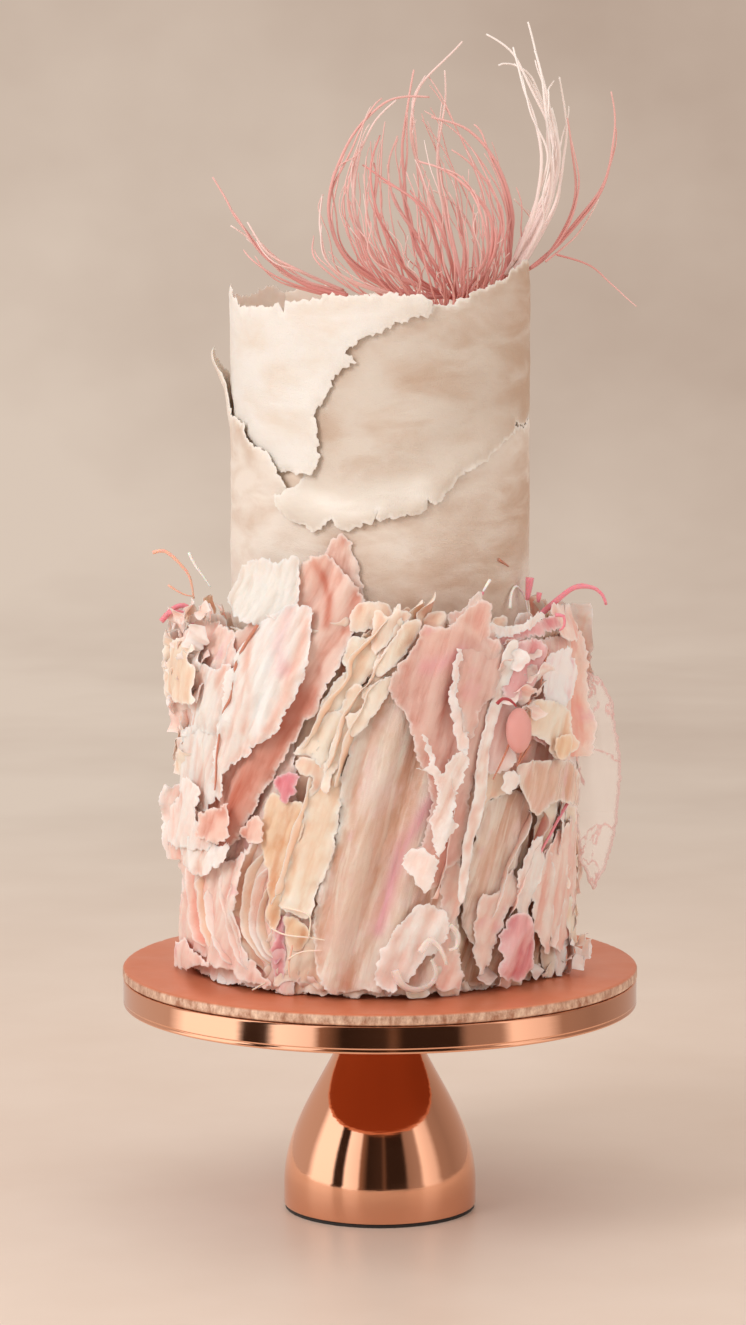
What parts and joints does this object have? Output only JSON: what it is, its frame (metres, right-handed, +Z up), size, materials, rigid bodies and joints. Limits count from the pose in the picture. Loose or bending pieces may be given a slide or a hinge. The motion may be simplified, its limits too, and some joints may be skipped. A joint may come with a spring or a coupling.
{
  "type": "tiered wedding cake",
  "caption": "Tiered celebration cake with torn paste sheets, leaning wafer ruffles and a tuft of sugar threads, on a polished footed stand.",
  "frame": {"origin": "middle of the underside of the stand's foot, on the surface it stands on", "axes": "+Z up the cake's axis, -Y to the front that the picture shows, +X to its right"},
  "size_m": [0.259, 0.259, 0.5951],
  "materials": {
    "rubber": "matt black foot pad",
    "polished_copper": "mirror-polished rose copper plate",
    "copper_foil": "satin copper foil with a crinkled edge",
    "icing": "smooth cream icing, mostly covered",
    "rolled_paste": "matt rolled sugar paste with faint tea-like stains and white torn edges",
    "pink_wafer": "thin dusty pink wafer paper, soft satin",
    "cream_wafer": "thin cream wafer paper, matt with frayed edges",
    "peach_wafer": "thin peach wafer paper, matt",
    "white_wafer": "thin white wafer paper, crumpled",
    "glossy_wafer": "damp, translucent ivory wafer paper with a soft gloss",
    "petal_pink": "rose pink wafer petals",
    "clear_film": "clear gelatine-like film with pink creases",
    "sugar_thread": "fine pulled-sugar threads, coral at the base and pale at the tips"
  },
  "bodies": {
    "root": {"foot_pad": "rubber", "foot": "polished_copper", "plate": "polished_copper", "board": "copper_foil", "lower_tier": "icing", "upper_tier": "icing", "left_sheet": "rolled_paste", "right_sheet": "rolled_paste", "lower_sheet": "rolled_paste", "back_sheet": "rolled_paste", "ruffle_01": "pink_wafer", "ruffle_02": "cream_wafer", "ruffle_03": "pink_wafer", "ruffle_04": "peach_wafer", "ruffle_05": "white_wafer", "ruffle_06": "pink_wafer", "ruffle_07": "cream_wafer", "ruffle_08": "pink_wafer", "ruffle_09": "peach_wafer", "ruffle_10": "pink_wafer", "ruffle_11": "white_wafer", "high_ruffle_1": "pink_wafer", "high_ruffle_2": "cream_wafer", "high_ruffle_3": "pink_wafer", "cream_fin_1": "cream_wafer", "cream_fin_2": "peach_wafer", "cream_fin_3": "cream_wafer", "cream_fin_4": "peach_wafer", "cream_fin_5": "cream_wafer", "cream_fin_6": "peach_wafer", "cream_pleat_1": "cream_wafer", "cream_pleat_2": "white_wafer", "cream_pleat_3": "peach_wafer", "left_tab": "cream_wafer", "white_tab": "white_wafer", "flank_sheet": "pink_wafer", "pink_drape": "pink_wafer", "pink_strip": "pink_wafer", "centre_sheet": "glossy_wafer", "pink_veil": "pink_wafer", "cream_ribbon": "cream_wafer", "beige_fan": "glossy_wafer", "white_petal": "white_wafer", "pink_petal_1": "petal_pink", "pink_petal_2": "petal_pink", "cream_petal": "cream_wafer", "wafer_bud": "petal_pink", "clear_film": "clear_film", "tuft": "sugar_thread"}
  },
  "joints": []
}
